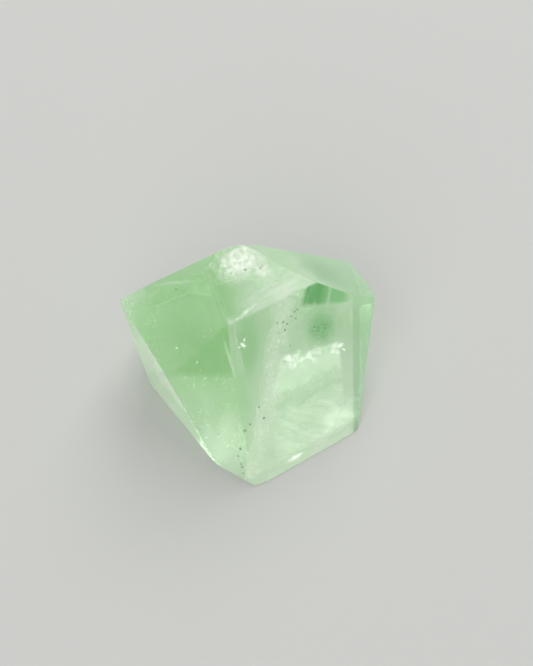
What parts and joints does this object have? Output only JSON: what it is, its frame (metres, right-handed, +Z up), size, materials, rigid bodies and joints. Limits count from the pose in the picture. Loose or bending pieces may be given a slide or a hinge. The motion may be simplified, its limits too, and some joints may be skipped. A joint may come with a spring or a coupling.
{
  "type": "polished fluorite freeform",
  "caption": "Palm-size freeform of clear pale green fluorite, ground to flat polished facets and resting on its widest flat.",
  "frame": {"origin": "on the resting flat, under the middle of the stone's bounding box", "axes": "+Z up from the resting flat; +X along the long side of the outline, to the right as the two large polished faces are seen; -Y towards those faces"},
  "size_m": [0.0476, 0.0466, 0.0336],
  "materials": {
    "fluorite": "polished"
  },
  "bodies": {
    "root": {"fluorite_stone": "fluorite"}
  },
  "joints": []
}
